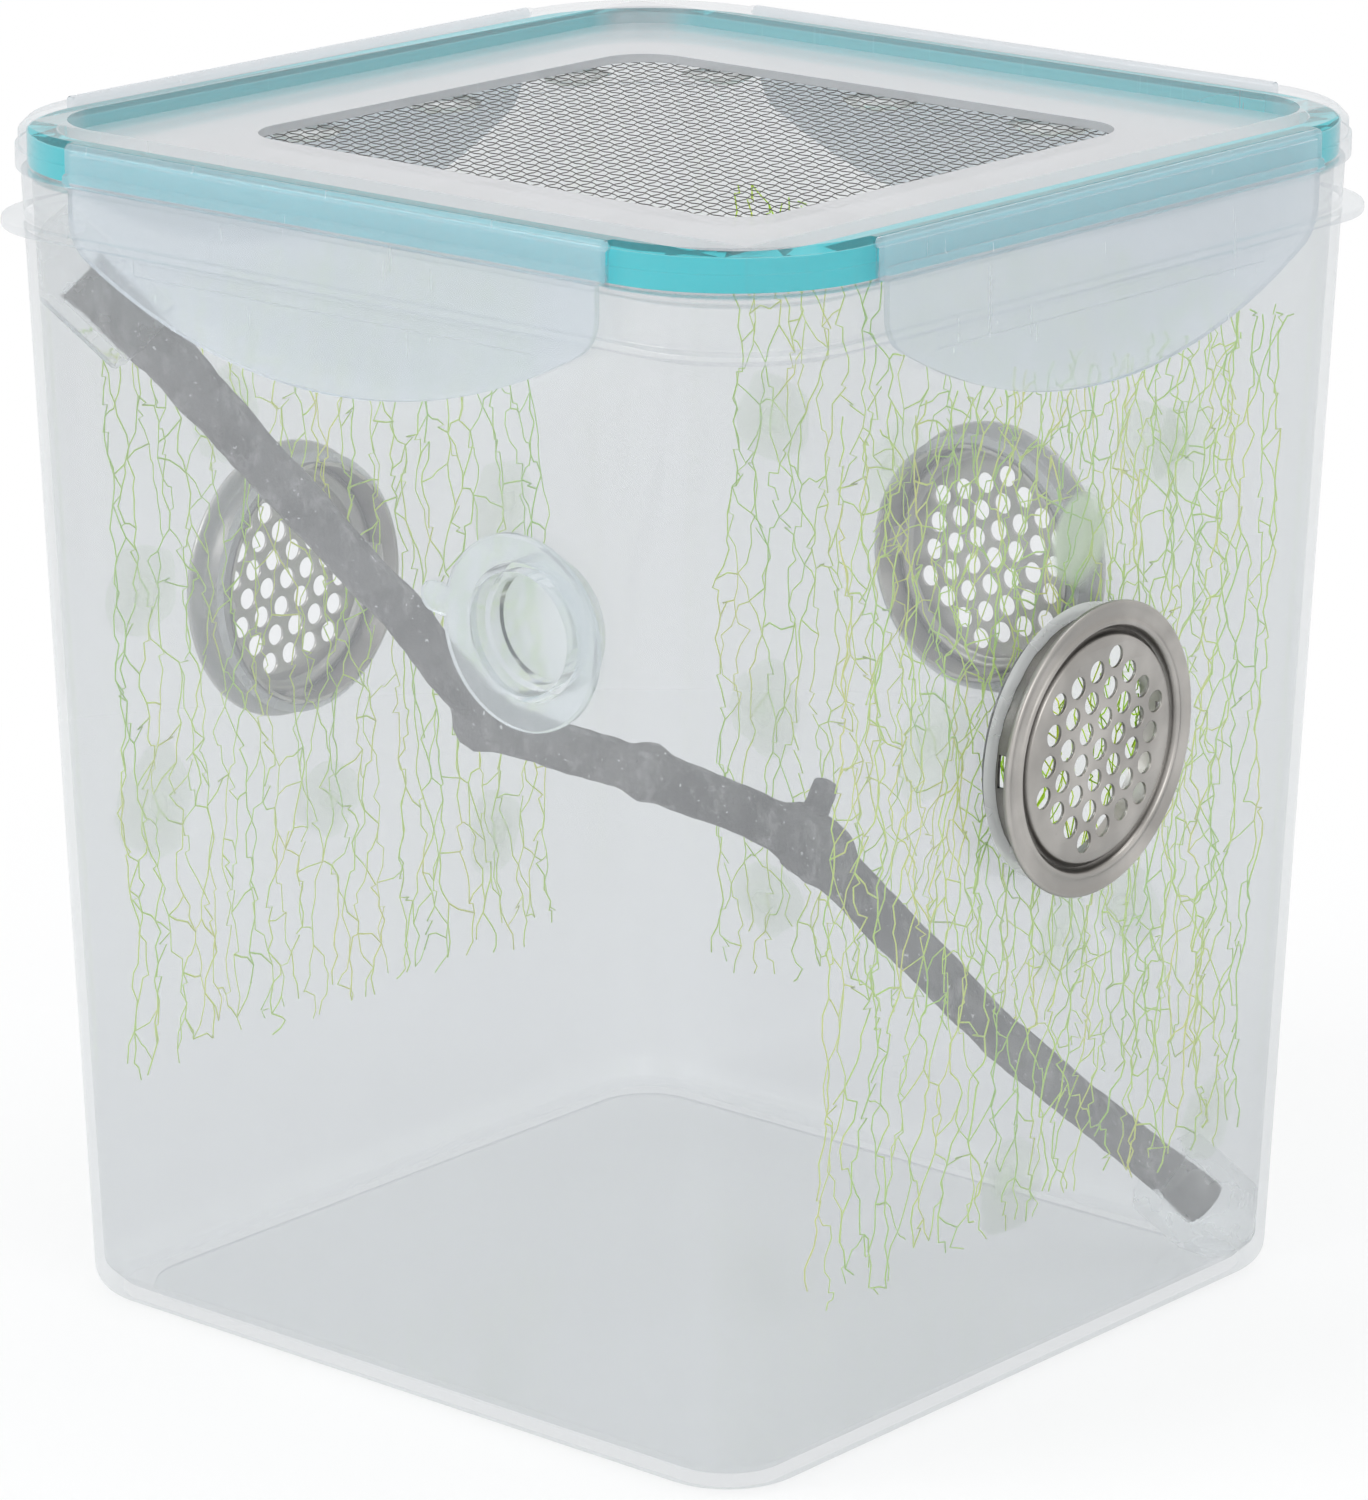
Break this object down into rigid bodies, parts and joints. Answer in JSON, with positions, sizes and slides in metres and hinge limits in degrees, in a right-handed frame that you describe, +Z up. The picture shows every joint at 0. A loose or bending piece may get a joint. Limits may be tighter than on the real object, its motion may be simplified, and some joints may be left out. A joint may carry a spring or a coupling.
{
  "type": "insect feeding box",
  "caption": "Translucent snap-lid feeding box for small insects, with a meshed lid window, round steel wall vents, climbing nets, a climbing stick and a plugged feeding port.",
  "frame": {"origin": "centre of the base, on the surface that the box stands on", "axes": "+Z up, +X towards the wall with the vent seen in the picture, -Y towards the wall with the feeding port"},
  "size_m": [0.19, 0.19, 0.2195],
  "materials": {
    "frosted_body": "translucent moulded polypropylene",
    "clear_lid": "translucent moulded polypropylene, smoother than the body",
    "latch_plastic": "translucent moulded polypropylene",
    "teal_seal": "soft silicone",
    "vent_steel": "brushed stainless sheet",
    "mesh_wire": "dull woven wire",
    "net_green": "crinkled thread net",
    "hot_glue": "clouded hot-melt glue",
    "bark": "dry grey bark",
    "plug_plastic": "soft translucent polyethylene"
  },
  "bodies": {
    "box": {"container": "frosted_body", "vents": "vent_steel", "vent_glue": "hot_glue", "net_right": "net_green", "net_back": "net_green", "net_left": "net_green", "net_glue_right": "hot_glue", "net_glue_back": "hot_glue", "net_glue_left": "hot_glue", "climbing_stick": "bark", "stick_glue_top": "hot_glue", "stick_glue_bottom": "hot_glue"},
    "cover": {"lid": "clear_lid", "seal_ring": "teal_seal", "lid_mesh": "mesh_wire", "lid_glue": "hot_glue"},
    "flap_front": {"latch_front": "latch_plastic"},
    "flap_right": {"latch_right": "latch_plastic"},
    "flap_back": {"latch_back": "latch_plastic"},
    "flap_left": {"latch_left": "latch_plastic"},
    "plug": {"feeding_plug": "plug_plastic"}
  },
  "joints": [
    {"name": "lid_lift", "type": "slide", "parent": "box", "child": "cover", "axis": [0, 0, 1], "range_m": [0, 0.08]},
    {"name": "latch_front_hinge", "type": "hinge", "parent": "cover", "child": "flap_front", "pos_m": [0, -0.0931, 0.2185], "axis": [-1, 0, 0], "range_deg": [0, 110]},
    {"name": "latch_right_hinge", "type": "hinge", "parent": "cover", "child": "flap_right", "pos_m": [0.0931, 0, 0.2185], "axis": [0, -1, 0], "range_deg": [0, 110]},
    {"name": "latch_back_hinge", "type": "hinge", "parent": "cover", "child": "flap_back", "pos_m": [0, 0.0931, 0.2185], "axis": [1, 0, 0], "range_deg": [0, 110]},
    {"name": "latch_left_hinge", "type": "hinge", "parent": "cover", "child": "flap_left", "pos_m": [-0.0931, 0, 0.2185], "axis": [0, 1, 0], "range_deg": [0, 110]},
    {"name": "plug_pull", "type": "slide", "parent": "box", "child": "plug", "axis": [0, -0.9991, -0.0419], "range_m": [0, 0.02]}
  ]
}
